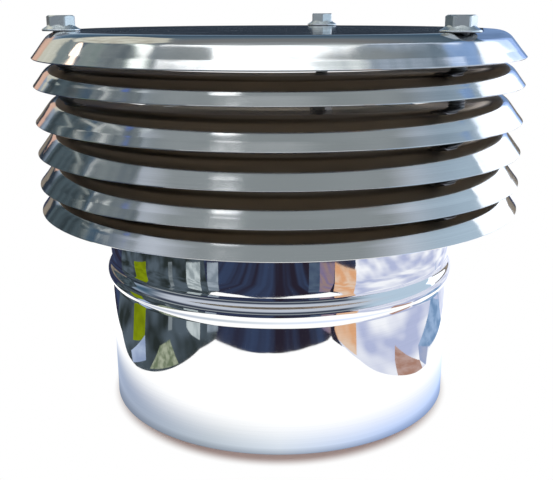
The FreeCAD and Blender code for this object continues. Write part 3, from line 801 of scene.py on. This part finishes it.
lip_level = top_of("flue_collar") - COLLAR_WALL
lip_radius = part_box("flue_collar")[1].x / MM
crown_x = COLLAR_RADIUS + BEAD_DEPTH - CROWN
low_x = COLLAR_RADIUS + HOLLOW
high_x = COLLAR_RADIUS - NECK_DEPTH + HOLLOW
ease_x = COLLAR_RADIUS - NECK_EASE
low_turn = math.degrees(math.acos((low_x - crown_x) / (CROWN + HOLLOW)))
high_turn = math.degrees(math.acos((high_x - crown_x) / (CROWN + HOLLOW)))
ease_turn = math.degrees(math.acos((high_x - ease_x) / (NECK_EASE + HOLLOW)))
low_z = BEAD_LEVEL - (CROWN + HOLLOW) * math.sin(math.radians(low_turn))
high_z = BEAD_LEVEL + (CROWN + HOLLOW) * math.sin(math.radians(high_turn))
ease_z = high_z + (NECK_EASE + HOLLOW) * math.sin(math.radians(ease_turn))
bm = bmesh.new()
draw_section(bm, (COLLAR_RADIUS, 0), 90, [
    (low_z, 0, 10),
    (HOLLOW, -low_turn, 9),
    (CROWN, low_turn + high_turn, 18),
    (HOLLOW, -high_turn - ease_turn, 12),
    (NECK_EASE, ease_turn, 6),
    (lip_level - LIP_BEND - ease_z, 0, 5),
    (LIP_BEND, -90, 8),
    (lip_radius - COLLAR_RADIUS - LIP_BEND, 0, 2),
])
spin_round(bm)
bmesh.ops.reverse_faces(bm, faces=bm.faces[:])
give_wall(bm, COLLAR_WALL)
finish_piece(bm, "flue_collar")

# %% [markdown]
# ## Hexagons
# A hexagon is milled from a turned blank, as six planes cut away what stands outside the flats. So
# the chamfer leaves the curved facets that a real head or nut has at its corners.

# %% Turn a blank, mill it and set it in place
MILL_TOLERANCE = 0.0001
CORNER_ANGLE = math.radians(30.0)
BOLT_CIRCLE = 107.0


def all_of(bm):
    """Everything in a bmesh, as its operators want it."""
    return bm.verts[:] + bm.edges[:] + bm.faces[:]


def turn_profile(profile, steps):
    """A closed shape turned round Z from points (radius, height) in millimetres."""
    bm = bmesh.new()
    points = [bm.verts.new((r * MM, 0, z * MM)) for r, z in profile]
    for pair in zip(points, points[1:]):
        bm.edges.new(pair)
    if profile[0][0] > 0:
        bm.edges.new((points[-1], points[0]))
    spin_round(bm, steps)
    return bm


def fill_holes(bm):
    """Close every open edge with one face."""
    bmesh.ops.holes_fill(bm, edges=[e for e in bm.edges if e.is_boundary], sides=0)


def mill_hexagon(bm, across):
    """Cut six flats, the first one facing +X."""
    for k in range(6):
        out = outward(60 * k)
        bmesh.ops.bisect_plane(bm, geom=all_of(bm), dist=MILL_TOLERANCE * MM, plane_co=out * across / 2 * MM,
                               plane_no=out, clear_outer=True)
        fill_holes(bm)


def stand_on_circle(bm, direction, level, turn):
    """Turn a fastener about its axis and put it on the bolt circle."""
    spot = outward(direction) * BOLT_CIRCLE
    bm.transform(Matrix.Translation((spot.x * MM, spot.y * MM, level * MM))
                 @ Matrix.Rotation(math.radians(turn), 4, "Z"))


print("bolt circle", 2 * BOLT_CIRCLE, "mm")

# %% [markdown]
# ## Threads
# The bolts are M8, threaded all along. The thread is rolled: a wire profile one pitch high is spun
# with a lift of one pitch per turn, and the turns are merged into one skin. Planes trim its two ends.

# %% Roll a thread
THREAD_RADIUS, THREAD_ROOT, PITCH_MM = 4.0, 3.32, 1.25
THREAD_FLANK = math.radians(30)
THREAD_STEPS, THREAD_WELD, SPARE_TURNS = 24, 0.002, 3
END_CHAMFER = 1.0


def roll_thread(length):
    """Threaded rod from z 0 down to -length, chamfered at its lower end."""
    flank = (THREAD_RADIUS - THREAD_ROOT) * math.tan(THREAD_FLANK)
    root = PITCH_MM * 7 / 8 - 2 * flank  # the crest is an eighth of the pitch wide
    profile = [(THREAD_ROOT, 0), (THREAD_ROOT, root), (THREAD_RADIUS, root + flank),
               (THREAD_RADIUS, PITCH_MM - flank), (THREAD_ROOT, PITCH_MM)]
    turns = math.ceil(length / PITCH_MM) + SPARE_TURNS
    foot = -length - SPARE_TURNS / 2 * PITCH_MM
    bm = bmesh.new()
    points = [bm.verts.new((r * MM, 0, (foot + z) * MM)) for r, z in profile]
    wire = [bm.edges.new(pair) for pair in zip(points, points[1:])]
    bmesh.ops.spin(bm, geom=points + wire, cent=(0, 0, 0), axis=(0, 0, 1),
                   dvec=(0, 0, PITCH_MM * MM / THREAD_STEPS), angle=2 * math.pi,
                   steps=THREAD_STEPS, use_duplicate=False)
    one_turn = all_of(bm)
    for k in range(1, turns):
        copy = bmesh.ops.duplicate(bm, geom=one_turn)["geom"]
        bmesh.ops.translate(bm, vec=(0, 0, k * PITCH_MM * MM),
                            verts=[v for v in copy if isinstance(v, bmesh.types.BMVert)])
    bmesh.ops.remove_doubles(bm, verts=bm.verts[:], dist=THREAD_WELD * MM)
    for level, away in ((0.0, 1), (-length + END_CHAMFER, 0), (-length, -1)):
        bmesh.ops.bisect_plane(bm, geom=all_of(bm), plane_co=(0, 0, level * MM), plane_no=(0, 0, away or 1),
                               clear_outer=away != 0)
    fill_holes(bm)
    for v in bm.verts:
        widest = THREAD_RADIUS - END_CHAMFER + (v.co.z / MM + length)
        radius = v.co.xy.length / MM
        if radius > widest:
            v.co.xy *= widest / radius
    bmesh.ops.recalc_face_normals(bm, faces=bm.faces[:])
    return bm


print("thread", round(THREAD_RADIUS - THREAD_ROOT, 2), "mm deep, pitch", PITCH_MM, "mm")

# %% [markdown]
# ## Bolts
# A flange bolt is a hexagon head on a wide round flange, forged in one. The flange slopes up to the
# head in a small hollow, and its edge is rolled over. Its underside and the foot of its edge get the
# thread's darker zinc, as painted shade.

# %% Head and flange
HEAD_ACROSS, HEAD_CORNERS, HEAD_FACE, HEAD_HEIGHT = 12.0, 13.3, 11.2, 7.2
HEAD_SINK, HEAD_STEPS = 1, 96
SEAT_RADIUS, SEAT_EDGE, SEAT_RISE, SEAT_ROUND = 8.95, 1.2, 2.8, 0.8
SEAT_CROWN, SEAT_FOOT, SEAT_RELIEF = 0.15, 0.3, 0.25
SEAT_HOLLOW = [(0, 0.1), (0.25, -0.18), (0.9, -0.75)]  # out from the hexagon's flats, up from the rise
ROLLED_ANGLES = (20, 35, 50, 65, 80, 90)
SHADED_FACES_DOWN = -0.1


def bolt_head():
    """The chamfered hexagon, sunk into its flange and turned until a corner points along +X."""
    chamfer = (HEAD_CORNERS - HEAD_FACE) / 2 * math.tan(CORNER_ANGLE)
    foot = SEAT_RISE - HEAD_SINK
    bm = turn_profile([
        (0, HEAD_HEIGHT), (HEAD_FACE / 2, HEAD_HEIGHT), (HEAD_CORNERS / 2, HEAD_HEIGHT - chamfer),
        (HEAD_CORNERS / 2, foot), (0, foot)], HEAD_STEPS)
    mill_hexagon(bm, HEAD_ACROSS)
    bm.transform(Matrix.Rotation(math.radians(30), 4, "Z"))
    return bm


def bolt_flange():
    """The round flange, with painted shade on its underside and the foot of its edge."""
    hollow = [(HEAD_ACROSS / 2 + out, SEAT_RISE + up) for out, up in SEAT_HOLLOW]
    rolled = [(SEAT_RADIUS - SEAT_ROUND * (1 - math.sin(math.radians(a))),
               SEAT_EDGE - SEAT_ROUND * (1 - math.cos(math.radians(a)))) for a in ROLLED_ANGLES]
    foot = [(SEAT_RADIUS, SEAT_FOOT), (SEAT_RADIUS - SEAT_RELIEF, 0), (0, 0)]
    bm = turn_profile([(0, SEAT_RISE + SEAT_CROWN)] + hollow + rolled + foot, HEAD_STEPS)
    # Faces that look down, and the foot of the edge, get the darker zinc: painted shade.
    for face in bm.faces:
        low = face.calc_center_median().z < SEAT_EDGE * MM / 3
        face.material_index = int(face.normal.z < SHADED_FACES_DOWN or low)
    return bm


print("head", HEAD_ACROSS, "mm across, flange", 2 * SEAT_RADIUS, "mm")

# %% Bolts
def add_into(bm, other):
    """Move another bmesh's faces into this one."""
    scratch = bpy.data.meshes.new("scratch")
    other.to_mesh(scratch)
    other.free()
    bm.from_mesh(scratch)
    bpy.data.meshes.remove(scratch)


seat_level = top_of("top_cap")
for side, (direction, turn) in BOLTS.items():
    node = "tie_bolt_" + side
    bm = bolt_head()
    add_into(bm, bolt_flange())
    thread = roll_thread(seat_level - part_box(node)[0].z / MM)
    # The thread gets the darker zinc: painted shade for the dark gaps it runs through.
    for face in thread.faces:
        face.material_index = 1
    add_into(bm, thread)
    stand_on_circle(bm, direction, seat_level, FIRST_BOLT + turn)
    finish_piece(bm, node)

# %% [markdown]
# ## Nuts
# Plain M8 hexagon nuts, one under every tier on every bolt, with a flat towards the skirt. The bore's
# countersinks show on the underside; inside it the nut's thread and the bolt's are one.

# %% Nuts
NUT_ACROSS, NUT_CORNERS, NUT_FACE, NUT_STEPS = 13.0, 14.5, 11.8, 72
NUT_BORE, SINK_RADIUS, SINK_DEPTH = 3.8, 4.3, 0.5

nut_chamfer = (NUT_CORNERS - NUT_FACE) / 2 * math.tan(CORNER_ANGLE)
for side, (direction, _) in BOLTS.items():
    for word in ("base", "ring_4", "ring_3", "ring_2", "ring_1", "cap"):
        node = "nut_%s_%s" % (side, word)
        low, high = (corner.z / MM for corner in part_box(node))
        height = high - low
        bm = turn_profile([
            (NUT_BORE, SINK_DEPTH), (SINK_RADIUS, 0), (NUT_FACE / 2, 0), (NUT_CORNERS / 2, nut_chamfer),
            (NUT_CORNERS / 2, height - nut_chamfer), (NUT_FACE / 2, height), (SINK_RADIUS, height),
            (NUT_BORE, height - SINK_DEPTH)], NUT_STEPS)
        mill_hexagon(bm, NUT_ACROSS)
        stand_on_circle(bm, direction, low, direction)
        finish_piece(bm, node)
